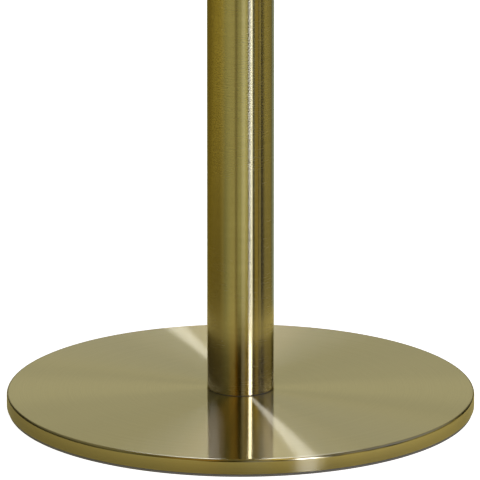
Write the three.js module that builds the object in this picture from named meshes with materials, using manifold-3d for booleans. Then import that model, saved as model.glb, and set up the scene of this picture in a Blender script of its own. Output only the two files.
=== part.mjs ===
// Rope barrier stanchion: a weighted disc base with a thin brass cover, a straight tube clamped to it
// by one full-length tie rod, a four-slot ring that turns under the finial, and a hollow ball finial.
// Millimetres, +Z up, origin on the floor at the centre of the base. The front of the object is -Y.

import * as THREE from 'three';
import { mergeVertices } from 'three/addons/utils/BufferGeometryUtils.js';
import Module from 'manifold-3d';

const wasm = await Module();
wasm.setup();

// ---------------------------------------------------------------- driving dimensions

const INCH = 25.4;
const BASE_R = 7 * INCH;
const TUBE_R = 1 * INCH;
const OVERALL_HEIGHT = 40 * INCH;
const BALL_R = 35;

const BASE_SEGMENTS = 60; // round parts of the base
const POST_SEGMENTS = 32; // round parts of the post and head
const SMALL_SEGMENTS = 24; // rod, nuts and screws

// Base
const RIM_TOP = 14; // height of the cover where its edge starts to turn down
const CROWN = 2.4; // rise of the cover from its edge to its middle
const SHEET = 1.2; // cover sheet thickness
const EDGE_R = 3; // outer radius of the cover's edge
const LIP_BEND = 1.6; // outer radius of the lip turned in under the weight
const LIP_WIDTH = 7.8;
const FOOT_H = 2; // rubber seen under the cover
const FOOT_INSET = 1.2; // of the rubber from the rim
const FOOT_INNER_WIDTH = 4; // rubber inside the groove
const LAND_R = 30; // flat middle of the cover, under the tube
const LAND_Z = RIM_TOP + CROWN;
const COVER_HOLE_R = 23.4;
const FIT_GAP = 0.3; // between a piece and the one that it is nested in
const EASE = 0.5; // broken edge of a turned piece

const WEIGHT_R = BASE_R - SHEET - 0.4;
const WEIGHT_BOTTOM = FOOT_H + SHEET + FIT_GAP;
const BOSS_R = 22.8;
const BOSS_TOP = 31;
const RECESS_R = 20;
const RECESS_TOP = 18;
const GROOVE_IN_R = 162;
const GROOVE_OUT_R = 166;
const GROOVE_DEPTH = 3;

// Post
const TUBE_WALL = 1.5;
const TUBE_BORE_R = TUBE_R - TUBE_WALL;
const GASKET_T = 0.6;
const TUBE_BOTTOM = LAND_Z + GASKET_T;
const SPIGOT_R = TUBE_BORE_R - 0.1; // plugs pushed into the tube
const FOOT_PLUG_TOP = 37;
const GUIDE_T = 6;
const GUIDE_WINDOWS = 3;
const GUIDE_WINDOW_R = 5;
const GUIDE_WINDOW_AT_R = 14;

// Tie rod and its fasteners, 3/8 inch
const ROD_R = 0.1875 * INCH;
const ROD_HOLE_R = 5.2;
const NUT_FLATS = 0.5625 * INCH;
const NUT_H = 8.3;
const LOCK_WASHER_T = 2.4;
const LOCK_WASHER_R = 8.6;
const LOCK_WASHER_SLOT = 0.9;
const LOCK_WASHER_SLANT = 25; // degrees
const FLAT_WASHER_T = 1.6;
const BASE_WASHER_R = 19;
const ROD_STANDOUT = 1.4; // rod below the base nut
const ROD_IN_BALL = 4; // rod above the neck
const ROD_CHAMFER = 1;
const HEAD_WASHER_R = 9.8;

// Head
const FLANGE_T = 3;
const GLIDE_T = 0.8;
const GLIDE_INSET = 0.8;
const RING_H = 14;
const RING_PLAY = 0.2; // above and below the ring
const NECK_H = 13;
const BALL_FLAT_R = 14; // flat underside of the ball
const BEAD_H = 3; // plain bead at the foot of the neck
const HOLLOW_H = 7; // hollow moulding above the bead
const HOLLOW_FOOT_R = 24.5;
const HOLLOW_TOP_R = 15.5;
const COLLAR_R = 17;
const COLLAR_HALF_H = 0.6;
const JOURNAL_R = 18;
const JOURNAL_CLEARANCE = 0.3;
const HUB_R = 27;
const HUB_TAPER = 2; // height over which the hub narrows to the tube's radius
const BAND_R = 40.5; // middle of the ring's outer band
const BAND_HALF_W = 3;
const BAND_HALF_H = 3.5;
const BAND_CHAMFER = 1.6;
const SPOKE_W = 8;
const SPOKE_H = 5;
const SPOKES = 4;
const COUNTERBORE_R = 10.5;
const COUNTERBORE_DEPTH = 12;
const BALL_WALL = 1.5;
const INSERT_R = 9;
const INSERT_BORE_R = 4.9;
const INSERT_FLANGE_R = 12.5;
const INSERT_FLANGE_T = 5;
const LAP_RISE = 2.5; // lip of the lower half inside the upper one
const LAP_T = 1.2;
const SHELL_SEAM = 0.15;
const SET_SCREW_R = 1.9;
const SET_SCREW_LENGTH = 4.7;
const SET_SCREW_RISE = 7.2; // above the foot of the neck
const SOCKET_R = 1;
const SOCKET_DEPTH = 2;

// Heights that follow, from the top of the ball down
const BALL_Z = OVERALL_HEIGHT - BALL_R;
const BALL_FLAT = Math.sqrt(BALL_R ** 2 - BALL_FLAT_R ** 2); // from the ball's centre down to its flat
const NECK_TOP = BALL_Z - BALL_FLAT;
const NECK_BOTTOM = NECK_TOP - NECK_H;
const RING_TOP = NECK_BOTTOM - GLIDE_T - RING_PLAY;
const RING_BOTTOM = RING_TOP - RING_H;
const FLANGE_TOP = RING_BOTTOM - RING_PLAY - GLIDE_T;
const TUBE_TOP = FLANGE_TOP - FLANGE_T;

// ---------------------------------------------------------------- materials

const brass = new THREE.MeshStandardMaterial({ color: 0xa89a5e, metalness: 1, roughness: 0.3 });
const castIron = new THREE.MeshStandardMaterial({ color: 0x3a3836, metalness: 0.6, roughness: 0.75 });
const zincSteel = new THREE.MeshStandardMaterial({ color: 0xb4b6b8, metalness: 1, roughness: 0.4 });
const zincAlloy = new THREE.MeshStandardMaterial({ color: 0x94969a, metalness: 0.9, roughness: 0.55 });
const rubber = new THREE.MeshStandardMaterial({ color: 0x1a1a18, metalness: 0, roughness: 0.85 });
const nylon = new THREE.MeshStandardMaterial({ color: 0xd9d5c6, metalness: 0, roughness: 0.6 });
const blackSteel = new THREE.MeshStandardMaterial({ color: 0x262524, metalness: 0.8, roughness: 0.5 });

// ---------------------------------------------------------------- helpers

const group = new THREE.Group();

function addPiece(name, geometry, material, z = 0) {
  const mesh = new THREE.Mesh(geometry, material);
  mesh.name = name;
  mesh.position.z = z;
  group.add(mesh);
}

// Points of an arc, from one angle to another in degrees, as [r, z] pairs.
function arc(centreR, centreZ, radius, fromDeg, toDeg, steps) {
  return Array.from({ length: steps + 1 }, (_, i) => {
    const angle = THREE.MathUtils.degToRad(fromDeg + ((toDeg - fromDeg) * i) / steps);
    return [centreR + radius * Math.cos(angle), centreZ + radius * Math.sin(angle)];
  });
}

// A solid of revolution about Z. The profile's [r, z] points run anticlockwise, with r to the right and z up.
function turned(profile, segments, closed = true) {
  const points = profile.map(([r, z]) => new THREE.Vector2(Math.max(r, 0), z));
  if (closed) points.push(points[0].clone());
  return new THREE.LatheGeometry(points, segments).rotateX(Math.PI / 2);
}

// A plain ring or washer standing on z = 0.
function ringSolid(innerR, outerR, height, segments) {
  const profile = [[innerR, 0], [outerR, 0], [outerR, height], [innerR, height]];
  return turned(profile, segments);
}

function toSolid(geometry) {
  const bare = geometry.clone();
  bare.deleteAttribute('normal');
  bare.deleteAttribute('uv');
  const merged = mergeVertices(bare, 1e-3);
  const vertProperties = new Float32Array(merged.attributes.position.array);
  const triVerts = new Uint32Array(merged.index.array);
  return new wasm.Manifold(new wasm.Mesh({ numProp: 3, vertProperties, triVerts }));
}

function toGeometry(solid) {
  const mesh = solid.getMesh();
  const geometry = new THREE.BufferGeometry();
  geometry.setAttribute('position', new THREE.BufferAttribute(mesh.vertProperties, 3));
  geometry.setIndex(new THREE.BufferAttribute(mesh.triVerts, 1));
  geometry.computeVertexNormals();
  return geometry;
}

// ---------------------------------------------------------------- base

// Height of the cover's upper face: flat under the tube, then a shallow crown that falls to the rim.
function coverHeight(r) {
  const share = Math.max(r - LAND_R, 0) / (BASE_R - EDGE_R - LAND_R);
  return RIM_TOP + CROWN * (1 - share ** 2);
}

// [r, z] points along the crown from the land out to the given radius, lowered by an offset.
function crownPoints(outerR, drop, steps = 3) {
  return Array.from({ length: steps + 1 }, (_, i) => {
    const r = LAND_R + ((outerR - LAND_R) * i) / steps;
    return [r, coverHeight(r) - drop];
  });
}

function baseCover() {
  const edgeInner = EDGE_R - SHEET;
  const bendInner = LIP_BEND - SHEET;
  const outside = [
    ...arc(BASE_R - LIP_BEND, FOOT_H + LIP_BEND, LIP_BEND, -90, 0, 2),
    ...arc(BASE_R - EDGE_R, RIM_TOP - EDGE_R, EDGE_R, 0, 90, 4),
    ...crownPoints(BASE_R - EDGE_R, 0).reverse().slice(1),
    [COVER_HOLE_R, LAND_Z],
  ];
  const inside = [
    [COVER_HOLE_R, LAND_Z - SHEET],
    ...crownPoints(BASE_R - EDGE_R, SHEET).slice(0, -1),
    ...arc(BASE_R - EDGE_R, RIM_TOP - EDGE_R, edgeInner, 90, 0, 2),
    ...arc(BASE_R - LIP_BEND, FOOT_H + LIP_BEND, bendInner, 0, -90, 1),
    [BASE_R - LIP_WIDTH, FOOT_H + SHEET],
    [BASE_R - LIP_WIDTH, FOOT_H],
  ];
  return turned([...outside, ...inside], BASE_SEGMENTS);
}

function baseWeight() {
  const topDrop = SHEET + FIT_GAP;
  const chamfer = 3;
  const bossChamfer = 1.5;
  const profile = [
    [GROOVE_OUT_R + FIT_GAP, WEIGHT_BOTTOM],
    [WEIGHT_R - EASE, WEIGHT_BOTTOM],
    [WEIGHT_R, WEIGHT_BOTTOM + EASE],
    [WEIGHT_R, RIM_TOP - topDrop - chamfer],
    ...crownPoints(WEIGHT_R - chamfer, topDrop, 2).reverse(),
    [BOSS_R, LAND_Z - topDrop],
    [BOSS_R, BOSS_TOP - bossChamfer],
    [BOSS_R - bossChamfer, BOSS_TOP],
    [ROD_HOLE_R, BOSS_TOP],
    [ROD_HOLE_R, RECESS_TOP],
    [RECESS_R, RECESS_TOP],
    [RECESS_R, WEIGHT_BOTTOM],
    [GROOVE_IN_R - FIT_GAP, WEIGHT_BOTTOM],
    [GROOVE_IN_R - FIT_GAP, WEIGHT_BOTTOM + GROOVE_DEPTH],
    [GROOVE_OUT_R + FIT_GAP, WEIGHT_BOTTOM + GROOVE_DEPTH],
  ];
  return turned(profile, BASE_SEGMENTS);
}

// Rubber ring: a flat foot under the cover's lip, with a tongue pressed into the weight's groove.
function floorProtector() {
  const footOutR = BASE_R - FOOT_INSET;
  const footInR = GROOVE_IN_R - FOOT_INNER_WIDTH;
  const innerOutR = BASE_R - LIP_WIDTH - FIT_GAP;
  const tongueTop = WEIGHT_BOTTOM + GROOVE_DEPTH - FIT_GAP;
  const profile = [
    [footInR, 0],
    [footOutR - EASE, 0],
    [footOutR, EASE],
    [footOutR, FOOT_H],
    [innerOutR, FOOT_H],
    [innerOutR, WEIGHT_BOTTOM],
    [GROOVE_OUT_R, WEIGHT_BOTTOM],
    [GROOVE_OUT_R, tongueTop],
    [GROOVE_IN_R, tongueTop],
    [GROOVE_IN_R, WEIGHT_BOTTOM],
    [footInR, WEIGHT_BOTTOM],
  ];
  return turned(profile, BASE_SEGMENTS);
}

// ---------------------------------------------------------------- rod and fasteners

// Hexagon nut standing on z = 0, with both faces chamfered.
function hexNut() {
  const cornerR = NUT_FLATS / 2 / Math.cos(Math.PI / 6);
  const shape = new THREE.Shape();
  for (let i = 0; i < 6; i++) {
    const angle = (i * Math.PI) / 3;
    const x = cornerR * Math.cos(angle);
    const y = cornerR * Math.sin(angle);
    if (i === 0) shape.moveTo(x, y);
    else shape.lineTo(x, y);
  }
  shape.closePath();
  const prism = new THREE.ExtrudeGeometry(shape, { depth: NUT_H, bevelEnabled: false });
  const faceR = NUT_FLATS / 2 - 0.2;
  const envelopeR = cornerR + 0.05;
  const chamfer = (cornerR - faceR) * Math.tan(Math.PI / 6);
  const envelope = turned([
    [0, 0],
    [faceR, 0],
    [envelopeR, chamfer],
    [envelopeR, NUT_H - chamfer],
    [faceR, NUT_H],
    [0, NUT_H],
  ], SMALL_SEGMENTS, false);
  const bore = new THREE.CylinderGeometry(ROD_R + 0.1, ROD_R + 0.1, 3 * NUT_H, SMALL_SEGMENTS);
  bore.rotateX(Math.PI / 2);
  return toGeometry(toSolid(prism).intersect(toSolid(envelope)).subtract(toSolid(bore)));
}

// Split spring washer: a plain ring with a slanted slot cut through one side.
function lockWasher() {
  const slot = new THREE.BoxGeometry(LOCK_WASHER_R, LOCK_WASHER_SLOT, 4 * LOCK_WASHER_T);
  slot.rotateX(THREE.MathUtils.degToRad(LOCK_WASHER_SLANT));
  slot.translate(LOCK_WASHER_R, 0, LOCK_WASHER_T / 2);
  const ring = ringSolid(ROD_HOLE_R, LOCK_WASHER_R, LOCK_WASHER_T, SMALL_SEGMENTS);
  return toGeometry(toSolid(ring).subtract(toSolid(slot)));
}

function tieRod(bottom, top) {
  const profile = [
    [0, bottom],
    [ROD_R - ROD_CHAMFER, bottom],
    [ROD_R, bottom + ROD_CHAMFER],
    [ROD_R, top - ROD_CHAMFER],
    [ROD_R - ROD_CHAMFER, top],
    [0, top],
  ];
  return turned(profile, SMALL_SEGMENTS, false);
}

// ---------------------------------------------------------------- post

// Cast cup pressed into the foot of the tube: it centres the tube on the weight's boss.
function footPlug() {
  const socketR = BOSS_R + FIT_GAP;
  const profile = [
    [socketR, TUBE_BOTTOM + FIT_GAP],
    [SPIGOT_R, TUBE_BOTTOM + FIT_GAP],
    [SPIGOT_R, FOOT_PLUG_TOP - EASE],
    [SPIGOT_R - EASE, FOOT_PLUG_TOP],
    [ROD_HOLE_R, FOOT_PLUG_TOP],
    [ROD_HOLE_R, BOSS_TOP + FIT_GAP],
    [socketR, BOSS_TOP + FIT_GAP],
  ];
  return turned(profile, POST_SEGMENTS);
}

// Moulded disc half way up the tube that stops the rod from rattling, lightened by round windows.
function rodGuide() {
  let disc = toSolid(ringSolid(ROD_HOLE_R, SPIGOT_R, GUIDE_T, POST_SEGMENTS));
  for (let i = 0; i < GUIDE_WINDOWS; i++) {
    const angle = (i * 2 * Math.PI) / GUIDE_WINDOWS;
    const cutter = new THREE.CylinderGeometry(GUIDE_WINDOW_R, GUIDE_WINDOW_R, 3 * GUIDE_T, SMALL_SEGMENTS);
    cutter.rotateX(Math.PI / 2);
    cutter.translate(GUIDE_WINDOW_AT_R * Math.cos(angle), GUIDE_WINDOW_AT_R * Math.sin(angle), 0);
    disc = disc.subtract(toSolid(cutter));
  }
  return toGeometry(disc);
}

// ---------------------------------------------------------------- head

// Turned plug in the top of the tube: a spigot, a flange flush with the tube, and the ring's journal.
function headPlug() {
  const spigotBottom = TUBE_TOP - 20;
  const hubR = 9;
  const skirtR = 21;
  const webBottom = TUBE_TOP - 5;
  const profile = [
    [skirtR, spigotBottom],
    [SPIGOT_R - EASE, spigotBottom],
    [SPIGOT_R, spigotBottom + EASE],
    [SPIGOT_R, TUBE_TOP],
    [TUBE_R, TUBE_TOP],
    [TUBE_R, FLANGE_TOP - EASE],
    [TUBE_R - EASE, FLANGE_TOP],
    [JOURNAL_R, FLANGE_TOP],
    [JOURNAL_R, NECK_BOTTOM],
    [COUNTERBORE_R, NECK_BOTTOM],
    [COUNTERBORE_R, NECK_BOTTOM - COUNTERBORE_DEPTH],
    [ROD_HOLE_R, NECK_BOTTOM - COUNTERBORE_DEPTH],
    [ROD_HOLE_R, spigotBottom],
    [hubR, spigotBottom],
    [hubR, webBottom],
    [skirtR, webBottom],
  ];
  return turned(profile, POST_SEGMENTS);
}

// Four-slot ring: a hub on the journal, four spokes and an outer band for the rope hooks.
function ropeRing() {
  const boreR = JOURNAL_R + JOURNAL_CLEARANCE;
  const middle = (RING_BOTTOM + RING_TOP) / 2;
  const hub = turned([
    [boreR, RING_BOTTOM],
    [TUBE_R, RING_BOTTOM],
    [HUB_R, RING_BOTTOM + HUB_TAPER],
    [HUB_R, RING_TOP - EASE],
    [HUB_R - EASE, RING_TOP],
    [boreR, RING_TOP],
  ], POST_SEGMENTS);
  const inner = BAND_R - BAND_HALF_W;
  const outer = BAND_R + BAND_HALF_W;
  const low = middle - BAND_HALF_H;
  const high = middle + BAND_HALF_H;
  const band = turned([
    [inner + BAND_CHAMFER, low],
    [outer - BAND_CHAMFER, low],
    [outer, low + BAND_CHAMFER],
    [outer, high - BAND_CHAMFER],
    [outer - BAND_CHAMFER, high],
    [inner + BAND_CHAMFER, high],
    [inner, high - BAND_CHAMFER],
    [inner, low + BAND_CHAMFER],
  ], POST_SEGMENTS);
  let ring = toSolid(hub).add(toSolid(band));
  const spokeFrom = (HUB_R + boreR) / 2;
  for (let i = 0; i < SPOKES; i++) {
    const spoke = new THREE.BoxGeometry(BAND_R - spokeFrom, SPOKE_W, SPOKE_H);
    spoke.translate((BAND_R + spokeFrom) / 2, 0, middle);
    spoke.rotateZ(((i + 0.5) * 2 * Math.PI) / SPOKES);
    ring = ring.add(toSolid(spoke));
  }
  return toGeometry(ring);
}

// Turned neck under the ball: a plain bead, a hollow moulding and a small collar, drilled for the set screw.
function finialNeck(screwZ) {
  const boreR = INSERT_R + FIT_GAP;
  const beadTop = NECK_BOTTOM + BEAD_H;
  const hollowSteps = 4;
  const hollow = Array.from({ length: hollowSteps + 1 }, (_, i) => {
    const angle = (i * Math.PI) / 2 / hollowSteps;
    const r = HOLLOW_FOOT_R - (HOLLOW_FOOT_R - HOLLOW_TOP_R) * Math.sin(angle);
    return [r, beadTop + HOLLOW_H * (1 - Math.cos(angle))];
  });
  const collarMiddle = (beadTop + HOLLOW_H + NECK_TOP) / 2;
  const neck = turned([
    [boreR, NECK_BOTTOM],
    [HUB_R - EASE, NECK_BOTTOM],
    [HUB_R, NECK_BOTTOM + EASE],
    [HUB_R, beadTop - EASE],
    [HUB_R - EASE, beadTop],
    ...hollow,
    [COLLAR_R, collarMiddle - COLLAR_HALF_H],
    [COLLAR_R, collarMiddle + COLLAR_HALF_H],
    [COLLAR_R - 2 * EASE, NECK_TOP],
    [boreR, NECK_TOP],
  ], POST_SEGMENTS);
  const holeR = SET_SCREW_R + FIT_GAP;
  const hole = new THREE.CylinderGeometry(holeR, holeR, HUB_R, SMALL_SEGMENTS);
  hole.translate(0, HUB_R / 2, screwZ);
  return toGeometry(toSolid(neck).subtract(toSolid(hole)));
}

// Headless set screw along +Y, with a hexagon socket in its outer end.
function setScrew() {
  const innerEnd = INSERT_R + FIT_GAP;
  const body = new THREE.CylinderGeometry(SET_SCREW_R, SET_SCREW_R, SET_SCREW_LENGTH, SMALL_SEGMENTS);
  body.translate(0, innerEnd + SET_SCREW_LENGTH / 2, 0);
  const socket = new THREE.CylinderGeometry(SOCKET_R, SOCKET_R, 2 * SOCKET_DEPTH, 6);
  socket.translate(0, innerEnd + SET_SCREW_LENGTH, 0);
  return toGeometry(toSolid(body).subtract(toSolid(socket)));
}

// Threaded bush that holds the ball to the rod: a sleeve through the neck and a flange inside the ball.
function finialInsert() {
  const flangeBottom = NECK_TOP + BALL_WALL;
  const flangeTop = flangeBottom + INSERT_FLANGE_T;
  const profile = [
    [INSERT_BORE_R, NECK_BOTTOM + FIT_GAP],
    [INSERT_R, NECK_BOTTOM + FIT_GAP],
    [INSERT_R, flangeBottom],
    [INSERT_FLANGE_R, flangeBottom],
    [INSERT_FLANGE_R, flangeTop - EASE],
    [INSERT_FLANGE_R - EASE, flangeTop],
    [INSERT_BORE_R, flangeTop],
  ];
  return turned(profile, POST_SEGMENTS);
}

// Lower half of the ball, flat where it sits on the neck, with a lip that laps into the upper half.
function lowerShell() {
  const innerR = BALL_R - BALL_WALL;
  const innerFlat = BALL_FLAT - BALL_WALL;
  const startDeg = -THREE.MathUtils.radToDeg(Math.asin(BALL_FLAT / BALL_R));
  const innerStartDeg = -THREE.MathUtils.radToDeg(Math.asin(innerFlat / innerR));
  const lipOutR = innerR - 2 * FIT_GAP;
  const lipInR = lipOutR - LAP_T;
  const lipRoot = -THREE.MathUtils.radToDeg(Math.acos(lipOutR / innerR));
  const profile = [
    [INSERT_R + FIT_GAP, -BALL_FLAT],
    ...arc(0, 0, BALL_R, startDeg, 0, 6),
    [lipOutR, 0],
    [lipOutR, LAP_RISE],
    [lipInR, LAP_RISE],
    [lipInR, -LAP_RISE],
    ...arc(0, 0, innerR, lipRoot, innerStartDeg, 5),
    [INSERT_R + FIT_GAP, -innerFlat],
  ];
  return turned(profile, POST_SEGMENTS);
}

function upperShell() {
  const innerR = BALL_R - BALL_WALL;
  const outerDeg = THREE.MathUtils.radToDeg(Math.asin(SHELL_SEAM / BALL_R));
  const innerDeg = THREE.MathUtils.radToDeg(Math.asin(SHELL_SEAM / innerR));
  const profile = [
    ...arc(0, 0, innerR, 90, innerDeg, 7),
    ...arc(0, 0, BALL_R, outerDeg, 90, 7),
  ];
  return turned(profile, POST_SEGMENTS, false);
}

// ---------------------------------------------------------------- assembly

const baseWasherBottom = RECESS_TOP - FLAT_WASHER_T;
const lockWasherBottom = baseWasherBottom - LOCK_WASHER_T;
const baseNutBottom = lockWasherBottom - NUT_H;
const rodBottom = baseNutBottom - ROD_STANDOUT;
const rodTop = NECK_TOP + ROD_IN_BALL;
const headWasherBottom = NECK_BOTTOM - COUNTERBORE_DEPTH;
const headNutBottom = headWasherBottom + FLAT_WASHER_T;
const rodGuideBottom = (TUBE_BOTTOM + TUBE_TOP) / 2;
const setScrewZ = NECK_BOTTOM + SET_SCREW_RISE;

addPiece('floor_protector', floorProtector(), rubber);
addPiece('base_weight', baseWeight(), castIron);
addPiece('base_cover', baseCover(), brass);

addPiece('base_washer', ringSolid(ROD_HOLE_R, BASE_WASHER_R, FLAT_WASHER_T, SMALL_SEGMENTS), zincSteel,
  baseWasherBottom);
addPiece('base_lock_washer', lockWasher(), zincSteel, lockWasherBottom);
addPiece('base_nut', hexNut(), zincSteel, baseNutBottom);
addPiece('tie_rod', tieRod(rodBottom, rodTop), zincSteel);

const tubeGasket = ringSolid(COVER_HOLE_R + FIT_GAP, TUBE_R - FIT_GAP, GASKET_T, POST_SEGMENTS);
addPiece('tube_gasket', tubeGasket, rubber, LAND_Z);
addPiece('foot_plug', footPlug(), zincAlloy);
addPiece('post_tube', ringSolid(TUBE_BORE_R, TUBE_R, TUBE_TOP - TUBE_BOTTOM, POST_SEGMENTS), brass,
  TUBE_BOTTOM);
addPiece('rod_guide', rodGuide(), nylon, rodGuideBottom);

const glideWasher = ringSolid(JOURNAL_R + JOURNAL_CLEARANCE, TUBE_R - GLIDE_INSET, GLIDE_T, POST_SEGMENTS);
addPiece('head_plug', headPlug(), brass);
addPiece('head_washer', ringSolid(ROD_HOLE_R, HEAD_WASHER_R, FLAT_WASHER_T, SMALL_SEGMENTS), zincSteel,
  headWasherBottom);
addPiece('head_nut', hexNut(), zincSteel, headNutBottom);
addPiece('lower_glide_washer', glideWasher, nylon, FLANGE_TOP);
addPiece('rope_ring', ropeRing(), brass);
addPiece('upper_glide_washer', glideWasher, nylon, NECK_BOTTOM - GLIDE_T);

addPiece('finial_neck', finialNeck(setScrewZ), brass);
addPiece('finial_set_screw', setScrew(), blackSteel, setScrewZ);
addPiece('finial_insert', finialInsert(), brass);
addPiece('finial_lower_shell', lowerShell(), brass, BALL_Z);
addPiece('finial_upper_shell', upperShell(), brass, BALL_Z);

export default group;
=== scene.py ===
"""Rope barrier stanchion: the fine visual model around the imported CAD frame.

Every turned piece is a lathed mesh with real fillets, brushed round its axis. Lengths are in
millimetres in the profiles and become metres in the meshes. The front of the object is -Y.
"""
import math

import bmesh
import bpy
from mathutils import Matrix, Vector


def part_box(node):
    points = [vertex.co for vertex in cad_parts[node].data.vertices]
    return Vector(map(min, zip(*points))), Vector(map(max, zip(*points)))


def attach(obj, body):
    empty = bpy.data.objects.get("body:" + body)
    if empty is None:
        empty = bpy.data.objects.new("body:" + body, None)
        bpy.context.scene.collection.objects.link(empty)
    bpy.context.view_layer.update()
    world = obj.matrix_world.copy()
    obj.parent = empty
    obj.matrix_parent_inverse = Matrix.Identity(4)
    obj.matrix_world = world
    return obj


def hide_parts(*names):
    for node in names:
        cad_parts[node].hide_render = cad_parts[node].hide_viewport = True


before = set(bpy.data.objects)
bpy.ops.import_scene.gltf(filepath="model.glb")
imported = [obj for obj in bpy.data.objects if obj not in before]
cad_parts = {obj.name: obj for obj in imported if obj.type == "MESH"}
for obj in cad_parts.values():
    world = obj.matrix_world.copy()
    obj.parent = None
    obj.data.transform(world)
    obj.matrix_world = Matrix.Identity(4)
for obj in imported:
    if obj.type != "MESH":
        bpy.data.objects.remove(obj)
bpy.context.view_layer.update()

MM = 0.001

# ---------------------------------------------------------------- sizes, in mm, from the frame


def heights(node):
    low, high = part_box(node)
    return low.z / MM, high.z / MM


def radius(node):
    low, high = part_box(node)
    return (high.x - low.x) / 2 / MM


BASE_R = radius("base_cover")
COVER_LOW, LAND_Z = heights("base_cover")
TUBE_R = radius("post_tube")
TUBE_BOTTOM, TUBE_TOP = heights("post_tube")
SPIGOT_BOTTOM, NECK_BOTTOM = heights("head_plug")
RING_BOTTOM, RING_TOP = heights("rope_ring")
NECK_TOP = heights("finial_neck")[1]
ROD_BOTTOM, ROD_TOP = heights("tie_rod")
ROD_R = radius("tie_rod")
BALL_R = radius("finial_upper_shell")
BALL_Z = heights("finial_upper_shell")[1] - BALL_R

# Sizes of the CAD model that its boxes don't show
SHEET = 1.2  # cover sheet
CROWN = 2.4  # rise of the cover from edge to middle
RIM_TOP = LAND_Z - CROWN
EDGE_R = 2.2  # outer radius of the cover's edge: 3 in CAD, tighter here as in the photo
LIP_BEND = 1.6
LIP_WIDTH = 7.8
LAND_R = 30.0
COVER_HOLE_R = 23.4
FIT_GAP = 0.3
WEIGHT_R = BASE_R - SHEET - 0.4
WEIGHT_BOTTOM = COVER_LOW + SHEET + FIT_GAP
BOSS_R = 22.8
BOSS_TOP = 31.0
RECESS_R = 20.0
RECESS_TOP = 18.0
GROOVE_IN_R = 162.0
GROOVE_OUT_R = 166.0
GROOVE_DEPTH = 3.0
RUBBER_IN_R = 158.0
RUBBER_OUT_R = BASE_R - 1.2
TUBE_BORE_R = TUBE_R - 1.5
SPIGOT_R = TUBE_BORE_R - 0.1
ROD_HOLE_R = 5.2
THREAD_PITCH = 25.4 / 16
THREAD_DEPTH = 0.85
NUT_FLATS = 14.2875
JOURNAL_R = 18.0
FLANGE_TOP = TUBE_TOP + 3
COUNTERBORE_R = 10.5
COUNTERBORE_Z = NECK_BOTTOM - 12
HUB_R = 27.0
BAND_R = 40.5
BAND_HALF_W = 3.0
BAND_HALF_H = 3.5
SPOKE_W = 8.0
SPOKE_HALF_H = 2.5
INSERT_R = 9.0
BALL_WALL = 1.5
BALL_FLAT_R = 14.0
BALL_FLAT = math.sqrt(BALL_R ** 2 - BALL_FLAT_R ** 2)
SET_SCREW_Z = NECK_BOTTOM + 7.2
SET_SCREW_R = 1.9

# ---------------------------------------------------------------- outlines


def fillets(corners, step_deg=9.0, support=0.2):
    """A fine closed [(r, z)] outline from [(r, z, fillet radius)] corners.

    Each arc has a support point close beside it, so that the flats stay flat under smooth shading.
    """
    points = []
    for i, (r, z, size) in enumerate(corners):
        here = Vector((r, z))
        before = Vector(corners[i - 1][:2]) - here
        after = Vector(corners[(i + 1) % len(corners)][:2]) - here
        turn = math.pi - before.angle(after) if size > 0 else 0
        if turn < math.radians(2):
            points.append(here)
            continue
        reach = size * math.tan(turn / 2)
        before_dir, after_dir = before.normalized(), after.normalized()
        centre = here + (before_dir + after_dir).normalized() * (size / math.cos(turn / 2))
        roomy = support * 2 < min(before.length, after.length) - reach
        if roomy:
            points.append(here + before_dir * (reach + support))
        first = (here + before_dir * reach - centre) / size
        last = (here + after_dir * reach - centre) / size
        steps = max(2, math.ceil(math.degrees(turn) / step_deg))
        for k in range(steps + 1):
            share = k / steps
            arm = first * math.sin((1 - share) * turn) + last * math.sin(share * turn)
            points.append(centre + arm * (size / math.sin(turn)))
        if roomy:
            points.append(here + after_dir * (reach + support))
    return [(p.x, p.y) for p in points]


def arc(centre_r, centre_z, size, from_deg, to_deg, step_deg=3.0):
    """Corners along an arc, with no fillets of their own."""
    steps = max(1, math.ceil(abs(to_deg - from_deg) / step_deg))
    angles = [math.radians(from_deg + (to_deg - from_deg) * i / steps) for i in range(steps + 1)]
    return [(centre_r + size * math.cos(a), centre_z + size * math.sin(a), 0) for a in angles]


# ---------------------------------------------------------------- meshes

SHARP = math.radians(32)


def shade(bm):
    """Outward faces, smooth but for the sharp edges."""
    bmesh.ops.recalc_face_normals(bm, faces=bm.faces)
    for face in bm.faces:
        face.smooth = True
    for edge in bm.edges:
        edge.smooth = edge.is_manifold and edge.calc_face_angle(0) < SHARP


def finished(name, bm):
    shade(bm)
    mesh = bpy.data.meshes.new(name)
    bm.to_mesh(mesh)
    bm.free()
    obj = bpy.data.objects.new(name, mesh)
    bpy.context.scene.collection.objects.link(obj)
    return obj


def revolved(name, rows, segments, closed=True):
    """A solid from rows that run round Z.

    A row is one (r, z) in mm, or a function of the angle that gives it.
    """
    bm = bmesh.new()
    angles = [2 * math.pi * i / segments for i in range(segments)]
    rings = []
    for row in rows:
        points = [row(a) if callable(row) else row for a in angles]
        if max(r for r, _ in points) < 1e-6:
            rings.append([bm.verts.new((0, 0, points[0][1] * MM))])
            continue
        rings.append([bm.verts.new((r * MM * math.cos(a), r * MM * math.sin(a), z * MM))
                      for a, (r, z) in zip(angles, points)])
    pairs = list(zip(rings, rings[1:])) + ([(rings[-1], rings[0])] if closed else [])
    for low, high in pairs:
        for i in range(segments):
            n = (i + 1) % segments
            corners = [low[i % len(low)], low[n % len(low)], high[n % len(high)], high[i % len(high)]]
            distinct = list(dict.fromkeys(corners))
            if len(distinct) > 2:
                bm.faces.new(distinct)
    return finished(name, bm)


def turned(name, corners, segments=160, step_deg=9.0):
    return revolved(name, fillets(corners, step_deg), segments)


def ring(name, inner, outer, low, high, ease=0.2, segments=96):
    corners = [(inner, low, ease), (outer, low, ease), (outer, high, ease), (inner, high, ease)]
    return turned(name, corners, segments, 22)


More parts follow.
